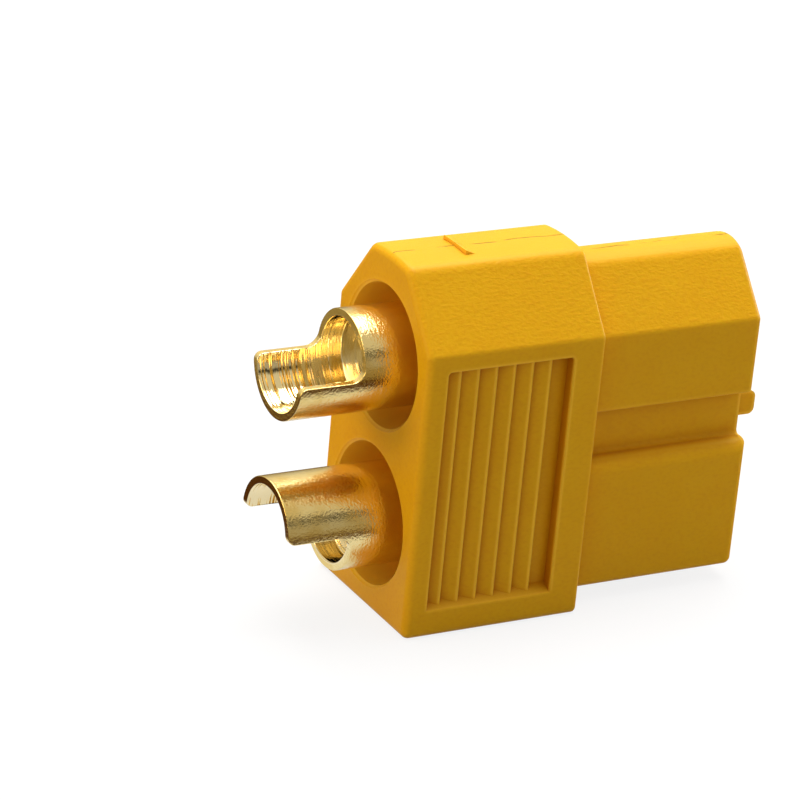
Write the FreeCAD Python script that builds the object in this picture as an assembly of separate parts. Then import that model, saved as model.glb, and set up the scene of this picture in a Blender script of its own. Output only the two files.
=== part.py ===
import FreeCAD, Part
import math
import os

# Socket half of a two-pole battery lead connector: a keyed, one-piece moulded housing that holds
# two turned, gold-plated contacts. Sizes are in millimetres and angles in degrees.
# +X points out of the mating nose, Y runs across the thickness and +Z runs from the flat narrow end,
# on which the connector stands, to the narrow end with the chamfered corners.
# The origin is the centre of the flat narrow end of the rear body.

V = FreeCAD.Vector

# Rear body: a block with two chamfered long corners that key the connector. Its narrow top is a low
# roof with a rounded ridge; BODY_HEIGHT reaches the shoulders where the roof starts.
BODY_LENGTH = 8.4
BODY_THICKNESS = 8.1
BODY_HEIGHT = 15.8
BODY_CHAMFER_Y = 2.4
BODY_CHAMFER_Z = 3.0
BODY_ROOF_RISE = 0.2
BODY_RIDGE_R = 10.0
BODY_EDGE_R = 0.35
BODY_FRONT_EDGE_R = 0.15
SHOULDER_R = 0.7

# Wedge that the mould leaves across the roof: steep behind, fading towards the nose.
WEDGE_FROM_REAR = 3.05
WEDGE_LENGTH = 0.65
WEDGE_OVER_SHOULDER = 0.27
WEDGE_WIDTH = 1.9

# Mating nose: the same keyed section, smaller all round, with a groove along each wide side. It
# starts above the foot by its lift and ends a step below the body's shoulders.
NOSE_LENGTH = 8.5
NOSE_THICKNESS = 6.2
NOSE_LIFT = 0.65
NOSE_STEP_DOWN = 0.95
NOSE_HEIGHT = BODY_HEIGHT - NOSE_LIFT - NOSE_STEP_DOWN
NOSE_CHAMFER_Y = 2.1
NOSE_CHAMFER_Z = 2.5
NOSE_ROOF_RISE = 0.45
NOSE_RIDGE_R = 1.8
NOSE_EDGE_R = 0.35
NOSE_ROOT_OVERLAP = 1.0

GROOVE_HEIGHT = 2.3
GROOVE_DEPTH = 0.95
GROOVE_UPPER_EDGE_R = 0.12
GROOVE_LOWER_EDGE_R = 0.6
GROOVE_FLOOR_R = 0.2

# Tongue that stands out of the mating face between the two sockets.
TONGUE_HEIGHT = 1.1
TONGUE_WIDTH = 3.4
TONGUE_REACH = 1.1
TONGUE_CORNER_R = 0.3
TONGUE_ROOT_R = 0.25
TONGUE_ANCHOR = 0.5

# Sunk grip panel with saw-tooth ribs, one on each wide side of the body. A plain strip is left
# between it and the chamfer.
PANEL_FROM_REAR = 1.0
PANEL_LENGTH = 5.95
PANEL_FROM_FOOT = 1.25
PANEL_BELOW_CHAMFER = 0.75
PANEL_HEIGHT = BODY_HEIGHT - BODY_CHAMFER_Z - PANEL_BELOW_CHAMFER - PANEL_FROM_FOOT
PANEL_DEPTH = 0.55
PANEL_FOOT_SLOPE = 0.3
PANEL_CORNER_R = 0.15
PANEL_RIM_R = 0.08
RIB_COUNT = 6
RIB_PITCH = 0.86
RIB_RISE = 0.36
RIB_CREST_R = 0.08
FIRST_CREST_FROM_PANEL = 0.74

# Contacts: socket tube in front, barbed shank in the middle, solder cup behind.
CONTACT_PITCH = 7.2
CONTACT_RADIUS = 2.2
CONTACT_EDGE = 0.12
SOCKET_RADIUS = 1.75
SOCKET_DEPTH = 8.0
SOCKET_LEAD_IN = 0.2
DRILL_POINT_ANGLE = 118.0

CUP_REACH = 4.8
CUP_RADIUS = 1.85
CUP_DEPTH = 3.9
CUP_RING_LENGTH = 1.85
CUP_CUT_BELOW_AXIS = 0.1
CUP_CUT_ROOT_R = 0.6
CUP_LIP_CORNER_R = 0.35

BARB_FROM_RECESS = 1.0
BARB_LENGTH = 1.2
BARB_HEIGHT = 0.18

# Holes of the housing around each contact.
CONTACT_CLEARANCE = 0.03
RECESS_RADIUS = 3.1
RECESS_DEPTH = 2.6
RECESS_RIM = 0.12
RECESS_FLOOR_CHAMFER = 0.25
LIP_LENGTH = 0.6
PIN_CLEARANCE = 0.25
LIP_LEAD_IN = 0.35

# Places along X and Z that several features share.
REAR_X = -BODY_LENGTH / 2
STEP_X = BODY_LENGTH / 2
TIP_X = STEP_X + NOSE_LENGTH
NOSE_TOP_Z = NOSE_LIFT + NOSE_HEIGHT
MID_Z = NOSE_LIFT + NOSE_HEIGHT / 2
SEAT_X = TIP_X - LIP_LENGTH
CUP_END_X = REAR_X - CUP_REACH
RECESS_FLOOR_X = REAR_X + RECESS_DEPTH
BARB_X = RECESS_FLOOR_X + BARB_FROM_RECESS

# How far a cutting shape runs past the surface that it opens.
PAST = 1.0


def rounded_outline(corners, place):
    """Closed wire through corners (u, v, radius), each rounded; place turns (u, v) into a point."""
    count = len(corners)
    arcs = []
    for index, (u, v, radius) in enumerate(corners):
        before = corners[index - 1]
        after = corners[(index + 1) % count]
        corner = FreeCAD.Vector(u, v, 0)
        back = (FreeCAD.Vector(before[0], before[1], 0) - corner).normalize()
        ahead = (FreeCAD.Vector(after[0], after[1], 0) - corner).normalize()
        if radius == 0:
            arcs.append((corner, None, corner))
            continue
        half_angle = back.getAngle(ahead) / 2
        run = radius / math.tan(half_angle)
        bisector = (back + ahead).normalize()
        middle = corner + bisector * (radius / math.sin(half_angle) - radius)
        arcs.append((corner + back * run, middle, corner + ahead * run))
    edges = []
    for index, (start, middle, end) in enumerate(arcs):
        if middle is not None:
            edges.append(Part.Arc(place(start), place(middle), place(end)).toShape())
        following = arcs[(index + 1) % count][0]
        if (following - end).Length > 1e-6:
            edges.append(Part.LineSegment(place(end), place(following)).toShape())
    return Part.Wire(edges)


def prism_along_x(corners, start_x, end_x):
    """Solid with a (y, z) outline, from start_x to end_x."""
    outline = rounded_outline(corners, lambda p: V(start_x, p.x, p.y))
    return Part.Face(outline).extrude(V(end_x - start_x, 0, 0))


def prism_along_y(corners, start_y, end_y):
    """Solid with an (x, z) outline, from start_y to end_y."""
    outline = rounded_outline(corners, lambda p: V(p.x, start_y, p.y))
    return Part.Face(outline).extrude(V(0, end_y - start_y, 0))


def prism_along_z(corners, start_z, end_z):
    """Solid with an (x, y) outline, from start_z to end_z."""
    outline = rounded_outline(corners, lambda p: V(p.x, p.y, start_z))
    return Part.Face(outline).extrude(V(0, 0, end_z - start_z))


def turned(corners, axis_z):
    """Solid turned about the line along X at height axis_z, from an (x, radius) outline."""
    outline = rounded_outline(corners, lambda p: V(p.x, 0, axis_z + p.y))
    return Part.Face(outline).revolve(V(0, 0, axis_z), V(1, 0, 0), 360)


def edges_in_plane_x(shape, x):
    """Edges that lie wholly in the plane at x."""
    return [e for e in shape.Edges if all(abs(v.Point.x - x) < 1e-6 for v in e.Vertexes)]


def keyed_half(half_y, low_z, high_z, chamfer_y, chamfer_z, edge_r, side):
    """Corners of one side of the keyed section, from the flat end up; side is -1 or +1."""
    return [
        (side * half_y, low_z, edge_r),
        (side * half_y, high_z - chamfer_z, edge_r),
        (side * (half_y - chamfer_y), high_z, SHOULDER_R),
    ]


def keyed_block(start_x, end_x, half_y, low_z, high_z, chamfer_y, chamfer_z, edge_r, roof_rise, ridge_r):
    """Block with the keyed section; roof_rise is the height of the unrounded ridge over high_z."""
    near, far = [keyed_half(half_y, low_z, high_z, chamfer_y, chamfer_z, edge_r, side) for side in (-1, 1)]
    ridge = [(0, high_z + roof_rise, ridge_r)]
    return prism_along_x(near + ridge + far[::-1], start_x, end_x)


def rear_body():
    """Rear block, well rounded at the solder face and less at the step to the nose."""
    block = keyed_block(REAR_X, STEP_X, BODY_THICKNESS / 2, 0, BODY_HEIGHT, BODY_CHAMFER_Y, BODY_CHAMFER_Z,
                        BODY_EDGE_R, BODY_ROOF_RISE, BODY_RIDGE_R)
    block = block.makeFillet(BODY_EDGE_R, edges_in_plane_x(block, REAR_X))
    return block.makeFillet(BODY_FRONT_EDGE_R, edges_in_plane_x(block, STEP_X))


def wedge():
    """Low wedge across the roof of the body."""
    start_x = REAR_X + WEDGE_FROM_REAR
    end_x = start_x + WEDGE_LENGTH
    buried_z = BODY_HEIGHT - WEDGE_OVER_SHOULDER
    corners = [
        (start_x, buried_z, 0),
        (start_x, BODY_HEIGHT + WEDGE_OVER_SHOULDER, 0),
        (end_x, BODY_HEIGHT, 0),
        (end_x, buried_z, 0),
    ]
    return prism_along_y(corners, -WEDGE_WIDTH / 2, WEDGE_WIDTH / 2)


def groove(side):
    """Shape cut along one wide side of the nose; side is -1 or +1."""
    surface_y = side * NOSE_THICKNESS / 2
    floor_y = surface_y - side * GROOVE_DEPTH
    past_y = surface_y + side * PAST
    low, high = MID_Z - GROOVE_HEIGHT / 2, MID_Z + GROOVE_HEIGHT / 2
    corners = [
        (past_y, low - PAST, 0),
        (surface_y, low - PAST, 0),
        (surface_y, low, GROOVE_LOWER_EDGE_R),
        (floor_y, low, GROOVE_FLOOR_R),
        (floor_y, high, GROOVE_FLOOR_R),
        (surface_y, high, GROOVE_UPPER_EDGE_R),
        (surface_y, high + PAST, 0),
        (past_y, high + PAST, 0),
    ]
    return prism_along_x(corners, STEP_X, TIP_X + PAST)


def nose():
    """Mating nose, rounded at its tip, with a groove along each wide side."""
    block = keyed_block(STEP_X - NOSE_ROOT_OVERLAP, TIP_X, NOSE_THICKNESS / 2, NOSE_LIFT, NOSE_TOP_Z,
                        NOSE_CHAMFER_Y, NOSE_CHAMFER_Z, NOSE_EDGE_R, NOSE_ROOF_RISE, NOSE_RIDGE_R)
    block = block.makeFillet(NOSE_EDGE_R, edges_in_plane_x(block, TIP_X))
    return block.cut(groove(-1)).cut(groove(1))


def tongue():
    """Small bar on the mating face, flared where it meets the face."""
    low, high = MID_Z - TONGUE_HEIGHT / 2, MID_Z + TONGUE_HEIGHT / 2
    end_x, anchor_x = TIP_X + TONGUE_REACH, TIP_X - TONGUE_ANCHOR
    corners = [
        (anchor_x, low - TONGUE_ROOT_R, 0),
        (TIP_X, low - TONGUE_ROOT_R, 0),
        (TIP_X + TONGUE_ROOT_R, low, 0),
        (end_x, low, TONGUE_CORNER_R),
        (end_x, high, TONGUE_CORNER_R),
        (TIP_X + TONGUE_ROOT_R, high, 0),
        (TIP_X, high + TONGUE_ROOT_R, 0),
        (anchor_x, high + TONGUE_ROOT_R, 0),
    ]
    return prism_along_y(corners, -TONGUE_WIDTH / 2, TONGUE_WIDTH / 2)


def rib(crest_x, surface_y, side):
    """One saw-tooth rib: a long flank that rises towards the nose and a steep face behind it."""
    floor_y = side * (surface_y - PANEL_DEPTH)
    crest_y = floor_y + side * RIB_RISE
    buried_y = floor_y - side * PAST
    low_z = PANEL_FROM_FOOT - PAST
    corners = [
        (crest_x - RIB_PITCH, buried_y, 0),
        (crest_x, buried_y, 0),
        (crest_x, crest_y, RIB_CREST_R),
        (crest_x - RIB_PITCH, floor_y, 0),
    ]
    return prism_along_z(corners, low_z, low_z + PANEL_HEIGHT + 2 * PAST)


def grip_panel(side):
    """Shape cut out of one wide side: a sunk panel, less its ribs; side is -1 or +1."""
    surface_y = BODY_THICKNESS / 2
    start_x, end_x = REAR_X + PANEL_FROM_REAR, REAR_X + PANEL_FROM_REAR + PANEL_LENGTH
    low_z, high_z = PANEL_FROM_FOOT, PANEL_FROM_FOOT + PANEL_HEIGHT
    corners = [(start_x, low_z, 0), (end_x, low_z, 0), (end_x, high_z, PANEL_CORNER_R),
               (start_x, high_z, PANEL_CORNER_R)]
    sunk = prism_along_y(corners, side * (surface_y - PANEL_DEPTH), side * (surface_y + PAST))
    for index in range(RIB_COUNT):
        crest_x = start_x + FIRST_CREST_FROM_PANEL + index * RIB_PITCH
        sunk = sunk.cut(rib(crest_x, surface_y, side))
    foot = prism_along_x([
        (side * surface_y, low_z, 0),
        (side * (surface_y - PANEL_DEPTH), low_z + PANEL_FOOT_SLOPE, 0),
        (side * (surface_y - PANEL_DEPTH - PAST), low_z + PANEL_FOOT_SLOPE, 0),
        (side * (surface_y - PANEL_DEPTH - PAST), low_z - PAST, 0),
        (side * surface_y, low_z - PAST, 0),
    ], start_x - PAST, end_x + PAST)
    return sunk.cut(foot)


def panel_rim(shape, side):
    """Edges where one grip panel meets the wide side around it; side is -1 or +1."""
    surface_y = side * BODY_THICKNESS / 2
    in_plane = [e for e in shape.Edges if all(abs(v.Point.y - surface_y) < 1e-6 for v in e.Vertexes)]
    start_x, end_x = REAR_X + PANEL_FROM_REAR, REAR_X + PANEL_FROM_REAR + PANEL_LENGTH
    return [e for e in in_plane if e.BoundBox.XMin > start_x - 1e-3 and e.BoundBox.XMax < end_x + 1e-3]


def shank_outline(gap):
    """Outer (x, radius) outline of a contact, enlarged radially by gap for its hole."""
    radius = CONTACT_RADIUS + gap
    edge = CONTACT_EDGE
    return [
        (CUP_END_X, 0, 0),
        (CUP_END_X, radius, 0),
        (BARB_X, radius, 0),
        (BARB_X, radius + BARB_HEIGHT, 0),
        (BARB_X + BARB_LENGTH, radius, 0),
        (SEAT_X - edge, radius, 0),
        (SEAT_X, radius - edge, 0),
        (SEAT_X, 0, 0),
    ]


def blind_hole(mouth_x, depth, radius, lead_in, direction, axis_z):
    """Drilled hole with a countersunk mouth and a drill-point end; direction points inwards."""
    point = radius / math.tan(math.radians(DRILL_POINT_ANGLE / 2))
    end_x = mouth_x + direction * depth
    outline = [
        (mouth_x - direction * PAST, 0, 0),
        (mouth_x - direction * PAST, radius + lead_in + PAST, 0),
        (mouth_x + direction * lead_in, radius, 0),
        (end_x, radius, 0),
        (end_x + direction * point, 0, 0),
    ]
    return turned(outline, axis_z)


def cup_window(axis_z):
    """Shape milled out of a solder cup, leaving a trough behind a full ring."""
    ring_x = REAR_X - CUP_RING_LENGTH
    cut_z = axis_z - CUP_CUT_BELOW_AXIS
    low_z, high_z = cut_z - CONTACT_RADIUS / 2, axis_z + CONTACT_RADIUS + PAST
    corners = [
        (CUP_END_X - PAST, low_z, 0),
        (CUP_END_X, low_z, 0),
        (CUP_END_X, cut_z, CUP_LIP_CORNER_R),
        (ring_x, cut_z, CUP_CUT_ROOT_R),
        (ring_x, high_z, 0),
        (CUP_END_X - PAST, high_z, 0),
    ]
    return prism_along_y(corners, -CONTACT_RADIUS - PAST, CONTACT_RADIUS + PAST)


def contact(axis_z):
    """Turned contact with its cup open upwards."""
    solid = turned(shank_outline(0), axis_z)
    socket = blind_hole(SEAT_X, SOCKET_DEPTH, SOCKET_RADIUS, SOCKET_LEAD_IN, -1, axis_z)
    cup = blind_hole(CUP_END_X, CUP_DEPTH, CUP_RADIUS, 0, 1, axis_z)
    return solid.cut(socket).cut(cup).cut(cup_window(axis_z))


def contact_hole(axis_z):
    """Shape cut out of the housing for one contact: rear recess, barbed bore and front lip."""
    recess = turned([
        (REAR_X - PAST, 0, 0),
        (REAR_X - PAST, RECESS_RADIUS + RECESS_RIM + PAST, 0),
        (REAR_X + RECESS_RIM, RECESS_RADIUS, 0),
        (RECESS_FLOOR_X - RECESS_FLOOR_CHAMFER, RECESS_RADIUS, 0),
        (RECESS_FLOOR_X, RECESS_RADIUS - RECESS_FLOOR_CHAMFER, 0),
        (RECESS_FLOOR_X, 0, 0),
    ], axis_z)
    lip_radius = SOCKET_RADIUS + PIN_CLEARANCE
    lip = turned([
        (SEAT_X - PAST, 0, 0),
        (SEAT_X - PAST, lip_radius, 0),
        (TIP_X - LIP_LEAD_IN, lip_radius, 0),
        (TIP_X + PAST, lip_radius + LIP_LEAD_IN + PAST, 0),
        (TIP_X + PAST, 0, 0),
    ], axis_z)
    return recess.fuse(turned(shank_outline(CONTACT_CLEARANCE), axis_z)).fuse(lip)


def housing(axis_heights):
    """One-piece moulded housing."""
    body = rear_body()
    for side in (-1, 1):
        body = body.cut(grip_panel(side))
        body = body.makeFillet(PANEL_RIM_R, panel_rim(body, side))
    solid = body.fuse(wedge()).fuse(nose()).fuse(tongue())
    for axis_z in axis_heights:
        solid = solid.cut(contact_hole(axis_z))
    return solid.removeSplitter()


positive_z = MID_Z - CONTACT_PITCH / 2
negative_z = MID_Z + CONTACT_PITCH / 2
positive_contact = contact(positive_z)
positive_contact.rotate(V(0, 0, positive_z), V(1, 0, 0), 180)

parts = {
    "housing": housing((positive_z, negative_z)),
    "negative_contact": contact(negative_z),
    "positive_contact": positive_contact,
}

os.makedirs("parts", exist_ok=True)
for name, shape in parts.items():
    solid = shape.Solids[0]
    print(name, "solids", len(shape.Solids), "valid", solid.isValid(), "volume", round(solid.Volume, 2),
          "faces", len(solid.Faces), "box", [round(v, 2) for v in (
              solid.BoundBox.XMin, solid.BoundBox.XMax, solid.BoundBox.YMin, solid.BoundBox.YMax,
              solid.BoundBox.ZMin, solid.BoundBox.ZMax)])
    solid.exportStep("parts/" + name + ".step")
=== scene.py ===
# %% [markdown]
# # A two-pole battery lead connector
#
# This lesson dresses the socket half of a keyed battery lead connector: one amber nylon moulding
# and two turned, gold-plated contacts. The shared frame brings the engineering model in metres,
# with +X out of the mating nose, Y across the thickness and +Z up.

# %% Libraries and the shared frame
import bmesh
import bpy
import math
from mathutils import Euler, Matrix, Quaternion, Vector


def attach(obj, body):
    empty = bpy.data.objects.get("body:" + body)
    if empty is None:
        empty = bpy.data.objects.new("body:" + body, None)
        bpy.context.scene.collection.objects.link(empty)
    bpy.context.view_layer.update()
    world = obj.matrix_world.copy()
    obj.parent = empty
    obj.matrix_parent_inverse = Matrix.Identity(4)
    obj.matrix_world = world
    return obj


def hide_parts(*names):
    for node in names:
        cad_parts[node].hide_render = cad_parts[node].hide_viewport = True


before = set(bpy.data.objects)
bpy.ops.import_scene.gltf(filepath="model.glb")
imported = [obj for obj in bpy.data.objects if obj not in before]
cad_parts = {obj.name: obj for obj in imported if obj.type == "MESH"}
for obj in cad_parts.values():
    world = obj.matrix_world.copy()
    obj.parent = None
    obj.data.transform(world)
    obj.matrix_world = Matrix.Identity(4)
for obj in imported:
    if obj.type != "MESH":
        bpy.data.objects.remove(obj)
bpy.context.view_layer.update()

# %% [markdown]
# ## Units
#
# The drawing of the connector is in millimetres and Blender works in metres, so one factor turns
# the first into the second.

MM = 0.001
print("nodes", sorted(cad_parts))

# %% [markdown]
# ## The camera
#
# A long lens from a hand's breadth or two away shows the connector's solder face and one wide
# side, from a little above. The camera is turned about its own axis by a few degrees, as a hand-held
# one is. The angles come first and the turn about the view axis is added to them.

# %% Camera
CAMERA_PLACE = Vector((-75.01, -123.98, 68.97)) * MM
CAMERA_HEADING = math.radians(-30.122)
CAMERA_DIP = math.radians(22.632)
CAMERA_ROLL = math.radians(5.218)
LENS_MM = 166.95
SENSOR_MM = 36
NEAREST_SEEN_MM = 10

lens = bpy.data.cameras.new("camera")
lens.lens = LENS_MM
lens.sensor_width = SENSOR_MM
lens.clip_start = NEAREST_SEEN_MM * MM
camera = bpy.data.objects.new("camera", lens)
bpy.context.scene.collection.objects.link(camera)
level = Euler((math.radians(90) - CAMERA_DIP, 0, CAMERA_HEADING)).to_quaternion()
camera.rotation_euler = (level @ Quaternion((0, 0, 1), CAMERA_ROLL)).to_euler()
camera.location = CAMERA_PLACE
bpy.context.scene.camera = camera
bpy.context.scene.view_settings.view_transform = "Standard"
print("camera to connector in mm", round(CAMERA_PLACE.length / MM))

# %% [markdown]
# ## Helpers for materials
#
# Colours are written as the hex values that a paint chart or a photo editor shows. Blender's
# shaders want linear light, so one function turns the first into the second. A second function adds
# a node, fills its inputs and makes its links, which keeps each recipe below short enough to read.

# %% Colour and node helpers
def linear(hex_code):
    """Linear colour with alpha from a hex value as written in a paint chart."""
    channels = [int(hex_code[i:i + 2], 16) / 255 for i in (1, 3, 5)]
    return [c / 12.92 if c <= 0.04045 else ((c + 0.055) / 1.055) ** 2.4 for c in channels] + [1.0]


def add(tree, kind, inputs=(), **settings):
    """New node; inputs maps socket names or numbers to values, or to the sockets that feed them."""
    node = tree.nodes.new("ShaderNode" + kind)
    for name, value in settings.items():
        setattr(node, name, value)
    for key, value in dict(inputs).items():
        if isinstance(value, bpy.types.NodeSocket):
            tree.links.new(value, node.inputs[key])
        else:
            node.inputs[key].default_value = value
    return node


def blank_material(name):
    """Empty material and its node tree."""
    material = bpy.data.materials.new(name)
    material.use_nodes = True
    material.node_tree.nodes.clear()
    return material, material.node_tree


def place_in_mm(tree):
    """Point of the surface in millimetres, in the connector's own frame."""
    where = add(tree, "TexCoord").outputs["Object"]
    return add(tree, "VectorMath", {0: where, 1: (1 / MM,) * 3}, operation="MULTIPLY").outputs[0]


def ramp(tree, value, low, high, to_low=0.0, to_high=1.0):
    """Value mapped smoothly from low..high to to_low..to_high."""
    inputs = {"Value": value, "From Min": low, "From Max": high, "To Min": to_low, "To Max": to_high}
    return add(tree, "MapRange", inputs, interpolation_type="SMOOTHSTEP").outputs[0]


MIDDLE_Z = 7.75
HALF_PITCH = 3.6
SLOW_WAVES_PER_MM = 0.9


def noise(tree, place, waves_per_mm, detail):
    """Cloudy value from 0 to 1, mostly near the middle."""
    inputs = {"Vector": place, "Scale": waves_per_mm, "Detail": detail}
    return add(tree, "TexNoise", inputs).outputs["Fac"]


def radius_from_contact(tree, axes):
    """Distance in millimetres from the axis of the nearer contact."""
    height = add(tree, "Math", {0: axes.outputs["Z"], 1: MIDDLE_Z}, operation="SUBTRACT").outputs[0]
    height = add(tree, "Math", {0: height}, operation="ABSOLUTE").outputs[0]
    height = add(tree, "Math", {0: height, 1: HALF_PITCH}, operation="SUBTRACT").outputs[0]
    across = add(tree, "CombineXYZ", {"Y": axes.outputs["Y"], "Z": height}).outputs[0]
    return add(tree, "VectorMath", {0: across}, operation="LENGTH").outputs["Value"]


print("amber in linear light", [round(c, 3) for c in linear("#E9AB0A")])

# %% [markdown]
# ## Amber nylon
#
# The housing is nylon 66, injection moulded in one shot and coloured amber right through. The steel
# mould was spark-eroded, which leaves a fine pebbled grain that is strongest on the slanted corners,
# and wiped smooth on the flats. Faces that look upwards, the narrow top among them, are painted a
# shade paler, a painted sheen, and the recesses are painted paler too, painted light that lifts their
# shade. The plastic lets a little light in, so shaded hollows glow orange instead of turning grey:
# that is the work of the subsurface part. The grain could be painted on, but bump nodes in real
# millimetres keep it sharp from every side.
#
# Sharp edges of such a moulding are thinner, and here they are painted paler: a painted highlight.
# Short rays sent into the solid find them: on a flat they hit nothing, beside an edge they soon leave
# the plastic. Rays sent into the air find grooves and corners in the same way, and there the amber is
# painted deeper: painted shade. The mould halves meet along the narrow top, where they leave a hair
# line that comes and goes.

# %% Nylon material
GRAIN_MM = 0.13
GRAIN_STRETCH = 0.6
GRAIN_DEPTH_MM = 0.045
FINE_GRAIN_MM = 0.06
FINE_GRAIN_DEPTH_MM = 0.008
CLOUD_MM = 1.6
EDGE_HIGHLIGHT_REACH_MM = 0.2
CREASE_SHADE_REACH_MM = 1.3
GLOW_REACH_MM = 0.7
RECESS_R = 3.1
RECESS_FLOOR_X = -1.6
FADE_MM = 0.1
PARTING_HALF_WIDTH = 0.06
PARTING_WANDER_MM = 0.08
PARTING_DEPTH_MM = 0.03
NARROW_TOP_Z = 14.5
RAY_SAMPLES = 8


def painted_edge_highlight(tree, reach):
    """Mask of the painted edge highlight: 1 beside sharp outer edges, 0 on flats, from rays inside the
    solid.
    """
    inside = add(tree, "AmbientOcclusion", {"Distance": reach * MM}, inside=True, only_local=True,
                 samples=RAY_SAMPLES)
    return ramp(tree, inside.outputs["AO"], 0.68, 0.96, 1.0, 0.0)


def painted_crease_shade(tree, recess, reach):
    """Mask of the painted shade: 1 deep in grooves and corners, 0 in the open and in the recesses, from
    rays of length reach into the air.
    """
    outside = add(tree, "AmbientOcclusion", {"Distance": reach * MM}, only_local=True,
                  samples=RAY_SAMPLES)
    crease_shade_mask = ramp(tree, outside.outputs["AO"], 0.35, 0.95, 1.0, 0.0)
    left = add(tree, "Math", {0: crease_shade_mask, 1: recess}, operation="SUBTRACT", use_clamp=True)
    return left.outputs[0]


def parting_line(tree, axes, breaks, upward):
    """1 on the hair line along the narrow top, where the cloudy value called breaks lets it show."""
    wander = noise(tree, place_in_mm(tree), SLOW_WAVES_PER_MM, 1.0)
    middle = ramp(tree, wander, 0.2, 0.8, -PARTING_WANDER_MM, PARTING_WANDER_MM)
    away = add(tree, "Math", {0: axes.outputs["Y"], 1: middle}, operation="SUBTRACT").outputs[0]
    away = add(tree, "Math", {0: away}, operation="ABSOLUTE").outputs[0]
    line = ramp(tree, away, 0.0, PARTING_HALF_WIDTH, 1.0, 0.0)
    on_top = ramp(tree, axes.outputs["Z"], NARROW_TOP_Z, NARROW_TOP_Z + 0.3)
    for mask in (ramp(tree, breaks, 0.42, 0.52), upward, on_top):
        line = add(tree, "Math", {0: line, 1: mask}, operation="MULTIPLY").outputs[0]
    return line


def tinted(tree, colour, hex_code, mask, share):
    """Colour changed towards hex_code by share where mask is 1."""
    factor = add(tree, "Math", {0: mask, 1: share}, operation="MULTIPLY").outputs[0]
    mix = add(tree, "Mix", {"Factor": factor, "A": colour, "B": linear(hex_code)}, data_type="RGBA")
    return mix.outputs["Result"]


def moulded_nylon():
    """Amber nylon with mould grain, painted sheen, light, shade and edge highlights, and the mould's hair
    line.
    """
    material, tree = blank_material("nylon_66_injection_moulded")
    place = place_in_mm(tree)
    axes = add(tree, "SeparateXYZ", {0: place})
    facing = add(tree, "SeparateXYZ", {0: add(tree, "NewGeometry").outputs["Normal"]}).outputs["Z"]
    drawn = add(tree, "VectorMath", {0: place, 1: (GRAIN_STRETCH, 1, 1)}, operation="MULTIPLY").outputs[0]
    cloud = noise(tree, place, 1 / CLOUD_MM, 3.0)
    coarse = noise(tree, drawn, 1 / GRAIN_MM, 2.0)
    fine = noise(tree, place, 1 / FINE_GRAIN_MM, 1.0)
    upward = ramp(tree, facing, 0.82, 0.92)
    slanted = ramp(tree, facing, 0.3, 0.5)
    slanted = add(tree, "Math", {0: slanted, 1: upward}, operation="SUBTRACT").outputs[0]
    near_contact = ramp(tree, radius_from_contact(tree, axes), RECESS_R, RECESS_R + FADE_MM, 1.0, 0.0)
    behind_floor = ramp(tree, axes.outputs["X"], RECESS_FLOOR_X, RECESS_FLOOR_X + FADE_MM, 1.0, 0.0)
    recess = add(tree, "Math", {0: near_contact, 1: behind_floor}, operation="MULTIPLY").outputs[0]
    line = parting_line(tree, axes, cloud, upward)

    amber = add(tree, "Mix", {"Factor": ramp(tree, cloud, 0.3, 0.7), "A": linear("#E9AB0A"),
                              "B": linear("#EAAE0C")}, data_type="RGBA").outputs["Result"]
    flecked = tinted(tree, amber, "#DF9807", ramp(tree, coarse, 0.4, 0.75), 0.4)
    # Upward faces, the narrow top among them, get a paler, whiter amber: a painted sheen.
    top_sheened = tinted(tree, flecked, "#EDB82C", upward, 0.7)
    # The recesses round the contacts get a paler amber: painted light that lifts their shade.
    recess_lit = tinted(tree, top_sheened, "#F8C840", recess, 0.8)
    # Grooves and corners get a deeper amber: painted shade.
    crease_shaded = tinted(tree, recess_lit, "#C57A03", painted_crease_shade(tree, recess, CREASE_SHADE_REACH_MM), 1.0)
    # Sharp outer edges get a paler amber: a painted highlight.
    edge_highlighted = tinted(tree, crease_shaded, "#FFC838", painted_edge_highlight(tree, EDGE_HIGHLIGHT_REACH_MM), 0.8)
    colour = tinted(tree, edge_highlighted, "#8A6408", line, 0.9)

    pebbles = add(tree, "Bump", {"Height": coarse, "Distance": GRAIN_DEPTH_MM * MM,
                                 "Strength": ramp(tree, slanted, 0.0, 1.0, 0.12, 0.55)}).outputs[0]
    grain = add(tree, "Bump", {"Height": fine, "Strength": 0.4, "Distance": FINE_GRAIN_DEPTH_MM * MM,
                               "Normal": pebbles}).outputs[0]
    seam = add(tree, "Bump", {"Height": line, "Strength": 0.8, "Distance": PARTING_DEPTH_MM * MM,
                              "Normal": grain}, invert=True).outputs[0]
    shader = add(tree, "BsdfPrincipled", {
        "Base Color": colour,
        "Roughness": ramp(tree, fine, 0.3, 0.7, 0.36, 0.48),
        "IOR": 1.53,
        "Specular IOR Level": 0.12,
        "Subsurface Weight": 0.08,
        "Subsurface Radius": (1.0, 0.4, 0.05),
        "Subsurface Scale": GLOW_REACH_MM * MM,
        "Normal": seam})
    add(tree, "OutputMaterial", {"Surface": shader.outputs[0]})
    return material


nylon = moulded_nylon()
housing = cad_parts["housing"]
for slot in housing.material_slots:
    slot.material = nylon
print("housing", len(housing.data.polygons), "triangles in", nylon.name)

# %% [markdown]
# ## Gold plating over turned brass
#
# Each contact is turned from brass bar and plated. The plating is bright and thin, so it keeps the
# marks of the tools: deep rings inside the cup, where the drill chattered, faint ones in the reamed
# socket, and a fine matt speckle outside, from tumbling. Gold has no colour of its own apart from
# what it reflects, so the metal is fully metallic, the tint sits in the reflection and the marks sit
# in the bump and the roughness. How far a point lies from its contact's axis tells the inside from
# the outside.

# %% Gold material
RING_MM = 0.3
RING_DEPTH_MM = 0.02
SPECK_MM = 0.1
SPECK_DEPTH_MM = 0.018
CUP_R = 1.85
DEEP_RINGS_END_X = -4.2


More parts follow.
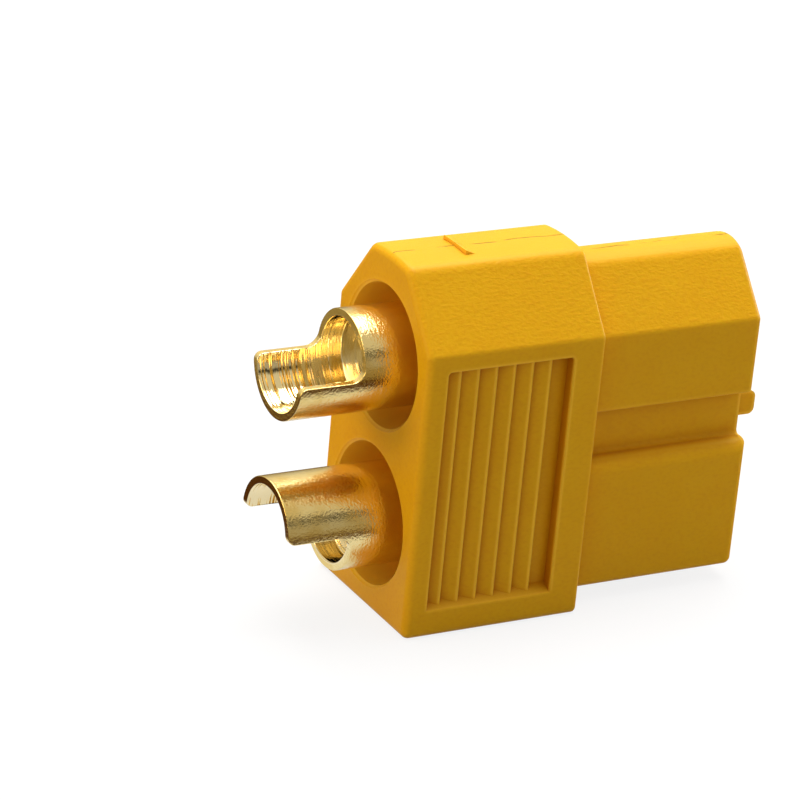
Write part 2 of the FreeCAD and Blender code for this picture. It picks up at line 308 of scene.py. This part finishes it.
def turned_gold():
    """Bright gold with rings inside the cup, faint rings in the socket and a speckle outside."""
    material, tree = blank_material("gold_plating_over_turned_brass")
    place = place_in_mm(tree)
    axes = add(tree, "SeparateXYZ", {0: place})
    inside = ramp(tree, radius_from_contact(tree, axes), CUP_R + 0.03, CUP_R + 0.12, 1.0, 0.0)
    rings = add(tree, "TexNoise", {"W": axes.outputs["X"], "Scale": 1 / RING_MM, "Detail": 2.0},
                noise_dimensions="1D").outputs["Fac"]
    rings = ramp(tree, rings, 0.3, 0.7)
    haze = noise(tree, place, SLOW_WAVES_PER_MM, 3.0)
    speck = noise(tree, place, 1 / SPECK_MM, 2.0)
    outer_tint = tinted(tree, linear("#FBE6A6"), "#F4D684", ramp(tree, haze, 0.3, 0.7), 1.0)
    # Inside the cup and socket the tint is paler: a painted lift that stands in for whiter reflections.
    tint = tinted(tree, outer_tint, "#FFF0C4", inside, 0.8)
    outer_rough = ramp(tree, haze, 0.3, 0.75, 0.15, 0.24)
    rough = add(tree, "Mix", {"Factor": inside, "A": outer_rough, "B": 0.1}, data_type="FLOAT")
    behind = ramp(tree, axes.outputs["X"], DEEP_RINGS_END_X, DEEP_RINGS_END_X + 1, 1.0, 0.15)
    in_cup = add(tree, "Math", {0: inside, 1: behind}, operation="MULTIPLY").outputs[0]
    marks = add(tree, "Bump", {"Height": rings, "Distance": RING_DEPTH_MM * MM,
                               "Strength": ramp(tree, in_cup, 0.0, 1.0, 0.08, 1.0)}).outputs[0]
    grain = add(tree, "Bump", {"Height": speck, "Distance": SPECK_DEPTH_MM * MM, "Normal": marks,
                               "Strength": ramp(tree, inside, 0.0, 1.0, 0.8, 0.1)}).outputs[0]
    shader = add(tree, "BsdfPrincipled", {
        "Base Color": tint,
        "Metallic": 1.0,
        "Roughness": rough.outputs["Result"],
        "Normal": grain})
    add(tree, "OutputMaterial", {"Surface": shader.outputs[0]})
    return material


gold = turned_gold()
print("gold material", len(gold.node_tree.nodes), "nodes")

# %% [markdown]
# ## Turning a contact
#
# A contact is a round bar with a drilled socket in front and a drilled solder cup behind. On the
# lathe a tool follows one outline while the bar spins, and the spin operator does the same: the
# outline is a chain of points and the operator sweeps it round the axis. The engineering model has
# the same form with few facets. Here it gets many, because polished metal shows every flat.

# %% Outline of a contact, in mm: place along the axis and radius
CONTACT_R = 2.2
CONTACT_EDGE = 0.12
SOCKET_R = 1.75
SOCKET_LEAD_IN = 0.2
CUP_END = -9.0
CUP_BOTTOM = -5.1
BARB_START = -0.6
BARB_END = 0.6
BARB_R = 2.38
SOCKET_BOTTOM = 4.1
SEAT = 12.1
RING_X = -6.05
LOOP_PAST_RING = 0.35
DRILL_POINT = 1 / math.tan(math.radians(118 / 2))
TURNS = 148
WELD_MM = 0.001

CONTACT_OUTLINE = [
    (CUP_BOTTOM + CUP_R * DRILL_POINT, 0),
    (CUP_BOTTOM, CUP_R),
    (RING_X + LOOP_PAST_RING, CUP_R),
    (CUP_END, CUP_R),
    (CUP_END, CONTACT_R),
    (RING_X + LOOP_PAST_RING, CONTACT_R),
    (BARB_START, CONTACT_R),
    (BARB_START, BARB_R),
    (BARB_END, CONTACT_R),
    (SEAT - CONTACT_EDGE, CONTACT_R),
    (SEAT, CONTACT_R - CONTACT_EDGE),
    (SEAT, SOCKET_R + SOCKET_LEAD_IN),
    (SEAT - SOCKET_LEAD_IN, SOCKET_R),
    (SOCKET_BOTTOM, SOCKET_R),
    (SOCKET_BOTTOM - SOCKET_R * DRILL_POINT, 0),
]


def object_from(bm, name):
    """Finished mesh object, linked to the scene."""
    mesh = bpy.data.meshes.new(name)
    bm.to_mesh(mesh)
    bm.free()
    piece = bpy.data.objects.new(name, mesh)
    bpy.context.scene.collection.objects.link(piece)
    return piece


def turned(name, outline, axis_z):
    """Object spun round the line along X at height axis_z."""
    bm = bmesh.new()
    points = [bm.verts.new((x * MM, 0, (axis_z + radius) * MM)) for x, radius in outline]
    lines = [bm.edges.new(pair) for pair in zip(points, points[1:])]
    bmesh.ops.spin(bm, geom=points + lines, cent=(0, 0, axis_z * MM), axis=(1, 0, 0),
                   angle=math.tau, steps=TURNS, use_merge=True)
    bmesh.ops.remove_doubles(bm, verts=bm.verts, dist=WELD_MM * MM)
    bmesh.ops.recalc_face_normals(bm, faces=bm.faces)
    return object_from(bm, name)


print("outline points", len(CONTACT_OUTLINE), "turns", TURNS)

# %% [markdown]
# ## Milling the solder cup open
#
# A wire is laid into the cup from the side, so a cutter has taken away one half of the tube behind
# a full ring. The cutter left a round corner at the ring, and the tip of each lip is rounded. A
# block with those two rounded edges is made first and then subtracted, as the cutter does.

# %% Cutting block and the cut
LIP_BELOW_AXIS = 0.1
ROOT_R = 0.6
LIP_R = 0.35
BLOCK_HALF_WIDTH = 3
BLOCK_PAST = 1
ROUNDING_STEPS = 10
SAME_PLACE = 1e-7
SLIVER_MM = 0.01
SOFT_EDGE_MM = 0.045
SHARP_CORNER = 35


def prism(sides, half_width):
    """Mesh of an outline in X and Z, in mm, that reaches half_width to either side along Y."""
    bm = bmesh.new()
    corners = [bm.verts.new((x * MM, -half_width * MM, z * MM)) for x, z in sides]
    face = bm.faces.new(corners)
    grown = bmesh.ops.extrude_face_region(bm, geom=[face])
    moved = [v for v in grown["geom"] if isinstance(v, bmesh.types.BMVert)]
    bmesh.ops.translate(bm, verts=moved, vec=(0, 2 * half_width * MM, 0))
    bmesh.ops.recalc_face_normals(bm, faces=bm.faces)
    return bm


def round_edge(bm, x, z, radius):
    """Rounding of the edge along Y that passes through x and z, in mm."""
    edges = [e for e in bm.edges if all(
        abs(v.co.x - x * MM) < SAME_PLACE and abs(v.co.z - z * MM) < SAME_PLACE for v in e.verts)]
    bmesh.ops.bevel(bm, geom=edges, offset=radius * MM, segments=ROUNDING_STEPS, profile=0.5,
                    affect="EDGES", material=-1)


def cutting_block(axis_z, turn):
    """Block that the window is cut with; turn is +1 for a cup open upwards and -1 for downwards."""
    level = axis_z - turn * LIP_BELOW_AXIS
    low = level - turn * CONTACT_R / 2
    high = axis_z + turn * (CONTACT_R + BLOCK_PAST)
    behind_x = CUP_END - BLOCK_PAST
    sides = [(behind_x, low), (CUP_END, low), (CUP_END, level), (RING_X, level), (RING_X, high),
             (behind_x, high)]
    bm = prism(sides, BLOCK_HALF_WIDTH)
    round_edge(bm, CUP_END, level, LIP_R)
    round_edge(bm, RING_X, level, ROOT_R)
    return object_from(bm, "cutting_block")


def cut(piece, block):
    """Piece less block; the block is thrown away."""
    modifier = piece.modifiers.new("cut", "BOOLEAN")
    modifier.operation = "DIFFERENCE"
    modifier.solver = "EXACT"
    modifier.object = block
    graph = bpy.context.evaluated_depsgraph_get()
    mesh = bpy.data.meshes.new_from_object(piece.evaluated_get(graph))
    piece.modifiers.clear()
    piece.data = mesh
    bpy.data.objects.remove(block)


def soften(piece, width, corner_angle):
    """Narrow rounding along every edge that is sharper than corner_angle degrees."""
    bm = bmesh.new()
    bm.from_mesh(piece.data)
    bmesh.ops.remove_doubles(bm, verts=bm.verts, dist=SLIVER_MM * MM)
    bmesh.ops.dissolve_degenerate(bm, edges=bm.edges, dist=SLIVER_MM * MM)
    bm.to_mesh(piece.data)
    bm.free()
    bevel = piece.modifiers.new("softened_edges", "BEVEL")
    bevel.width = width * MM
    bevel.segments = 2
    bevel.limit_method = "ANGLE"
    bevel.angle_limit = math.radians(corner_angle)
    bevel.use_clamp_overlap = False
    bevel.harden_normals = True
    piece.data.shade_smooth()


contacts = {"negative_contact": (MIDDLE_Z + HALF_PITCH, 1),
            "positive_contact": (MIDDLE_Z - HALF_PITCH, -1)}
for node, (axis_z, turn) in contacts.items():
    piece = turned("polished_" + node, CONTACT_OUTLINE, axis_z)
    cut(piece, cutting_block(axis_z, turn))
    soften(piece, SOFT_EDGE_MM, SHARP_CORNER)
    piece.data.materials.clear()
    piece.data.materials.append(gold)
    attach(piece, "root")
    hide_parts(node)
    print(piece.name, len(piece.data.polygons), "faces")

# %% [markdown]
# ## A core for the tongue
#
# A small tongue stands on the mating face between the sockets. In the engineering model the flare of
# each socket's mouth runs on past that face and leaves a shallow pit in the tongue's tip, above and
# below. The real tongue is whole, so a core of the same nylon fills both pits. It stays a hundredth
# of a millimetre under the tongue's own surface, so nothing of it shows but the filled pits.

# %% Tongue core
TONGUE_ROOT_X = 13.0
TONGUE_END_X = 13.8
TONGUE_HALF_HEIGHT = 0.55
TONGUE_CORNER_R = 0.3
CORE_HALF_WIDTH = 1.6
CORE_EDGE_MM = 0.02
CORE_SHARP_CORNER = 60
UNDER_SURFACE = 0.01


def tongue_core():
    """Bar with a rounded front that fills the tongue from inside."""
    end_x = TONGUE_END_X - UNDER_SURFACE
    low = MIDDLE_Z - TONGUE_HALF_HEIGHT + UNDER_SURFACE
    high = MIDDLE_Z + TONGUE_HALF_HEIGHT - UNDER_SURFACE
    sides = [(TONGUE_ROOT_X, low), (end_x, low), (end_x, high), (TONGUE_ROOT_X, high)]
    bm = prism(sides, CORE_HALF_WIDTH)
    round_edge(bm, end_x, low, TONGUE_CORNER_R)
    round_edge(bm, end_x, high, TONGUE_CORNER_R)
    return object_from(bm, "tongue_core")


core = tongue_core()
soften(core, CORE_EDGE_MM, CORE_SHARP_CORNER)
core.data.materials.append(nylon)
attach(core, "root")
print(core.name, len(core.data.polygons), "faces")

# %% [markdown]
# ## Floor and backdrop
#
# The connector stands on a pale sheet. The camera sees it white, with the connector's soft shadow.
# Mirror rays see a painted reflection on it: a glowing white pool close by, a dark brown band a
# little further out and a dull tone beyond, which give the gold its pale and dark bands. For the
# light that it throws back onto the nylon it is a quiet grey, so that the sides stay darker than the top.

# %% Floor
REFLECTED_POOL_END_MM = 10.5
DARK_REFLECTION_FROM_MM = 15.0
DARK_REFLECTION_END_MM = 27.0
DULL_REFLECTION_FROM_MM = 33.0
GLOW_SHARE = 0.84
FLOOR_HALF_SIZE = 3.0


def pale_sheet():
    """White sheet with a soft shadow for the eye, and a painted reflection for mirrors: pool, band, dull
    tone.
    """
    material, tree = blank_material("white_paper_sheet")
    path = add(tree, "LightPath")
    seen = path.outputs["Is Camera Ray"]
    for kind in ("Is Glossy Ray", "Is Transmission Ray"):
        seen = add(tree, "Math", {0: seen, 1: path.outputs[kind]}, operation="MAXIMUM").outputs[0]
    distance = add(tree, "VectorMath", {0: place_in_mm(tree)}, operation="LENGTH").outputs["Value"]
    # Painted reflection for mirror rays: white pool close by, dark brown band further out, dull tone
    # beyond.
    in_dark_reflection = ramp(tree, distance, REFLECTED_POOL_END_MM, DARK_REFLECTION_FROM_MM)
    dark_reflection_colour = tinted(tree, linear("#E8E8E8"), "#4A2C10", in_dark_reflection, 1.0)
    painted_reflection_colour = tinted(tree, dark_reflection_colour, "#94845C", ramp(tree, distance, DARK_REFLECTION_END_MM, DULL_REFLECTION_FROM_MM), 1.0)
    colour = add(tree, "Mix", {"Factor": path.outputs["Is Glossy Ray"], "A": (1, 1, 1, 1), "B": painted_reflection_colour},
                 data_type="RGBA").outputs["Result"]
    quiet = add(tree, "BsdfDiffuse", {"Color": linear("#ACACAC")}).outputs[0]
    paper = add(tree, "BsdfDiffuse", {"Color": colour}).outputs[0]
    glow = add(tree, "Emission", {"Color": colour, "Strength": 1.0}).outputs[0]
    shown = add(tree, "MixShader", {0: GLOW_SHARE, 1: paper, 2: glow}).outputs[0]
    surface = add(tree, "MixShader", {0: seen, 1: quiet, 2: shown}).outputs[0]
    add(tree, "OutputMaterial", {"Surface": surface})
    return material


bm = bmesh.new()
bmesh.ops.create_grid(bm, x_segments=1, y_segments=1, size=FLOOR_HALF_SIZE)
floor = object_from(bm, "floor")
floor.data.materials.append(pale_sheet())
print("floor", [round(c, 2) for c in floor.dimensions])

# %% [markdown]
# ## The room
#
# The room round the connector is plain white to the eye and lights the nylon evenly at a low level.
# Polished gold shows what stands round it, so its mirror image of the room has more contrast: pale
# behind the connector and dim in front, with a dark band at half height that gives the gold its bands.

# %% World
SOFT_LEVEL = 0.437
WHITE_LEVEL = 1.0

world = bpy.data.worlds.new("studio")
bpy.context.scene.world = world
world.use_nodes = True
tree = world.node_tree
tree.nodes.clear()
path = add(tree, "LightPath")
ray = add(tree, "SeparateXYZ", {0: add(tree, "TexCoord").outputs["Generated"]})
behind = ramp(tree, ray.outputs["Z"], -0.1, 0.6, 0.45, 1.0)
low_front = ramp(tree, ray.outputs["Z"], 0.34, 0.41, 0.4, 0.03)
high_front = ramp(tree, ray.outputs["Z"], 0.45, 0.6, 0.0, 0.6)
front = add(tree, "Math", {0: low_front, 1: high_front}, operation="ADD").outputs[0]
mirror = add(tree, "Mix", {"Factor": ramp(tree, ray.outputs["Y"], -0.3, 0.5), "A": front, "B": behind},
             data_type="FLOAT").outputs["Result"]
soft = add(tree, "Background", {"Color": (1, 1, 1, 1), "Strength": SOFT_LEVEL}).outputs[0]
room = add(tree, "Background", {"Color": linear("#FFF4DC"), "Strength": mirror}).outputs[0]
white = add(tree, "Background", {"Color": (1, 1, 1, 1), "Strength": WHITE_LEVEL}).outputs[0]
lit = add(tree, "MixShader", {0: path.outputs["Is Glossy Ray"], 1: soft, 2: room}).outputs[0]
seen = add(tree, "MixShader", {0: path.outputs["Is Camera Ray"], 1: lit, 2: white}).outputs[0]
add(tree, "OutputWorld", {"Surface": seen})
print("world", len(tree.nodes), "nodes")

# %% [markdown]
# ## Soft boxes
#
# A large soft box hangs above and a little behind the connector, so the narrow top is the brightest
# face, the slanted corners come next and the wide sides are the darkest. A warm one at the solder
# cups' end lights that end face. A small one at the nose's end only grazes the wide side and picks
# out its edges. Places and sizes are in metres.

# %% Soft boxes
LIGHT_AIM = Vector((0, 0, 0.01))


def soft_box(name, place, size, watts, colour="#FFFFFF"):
    """Square lamp of soft light, turned towards the connector."""
    lamp = bpy.data.lights.new(name, "AREA")
    lamp.shape = "SQUARE"
    lamp.size = size
    lamp.energy = watts
    lamp.color = linear(colour)[:3]
    box = bpy.data.objects.new(name, lamp)
    bpy.context.scene.collection.objects.link(box)
    box.location = place
    box.rotation_euler = (LIGHT_AIM - Vector(place)).to_track_quat("-Z", "Y").to_euler()
    return box


soft_box("overhead_box", (0.03, 0.08, 0.286), 0.24, 1.0)
soft_box("side_box", (-0.30, 0.05, 0.12), 0.16, 0.33, "#FFDCA0")
soft_box("edge_box", (0.28, 0.03, 0.07), 0.12, 0.3)
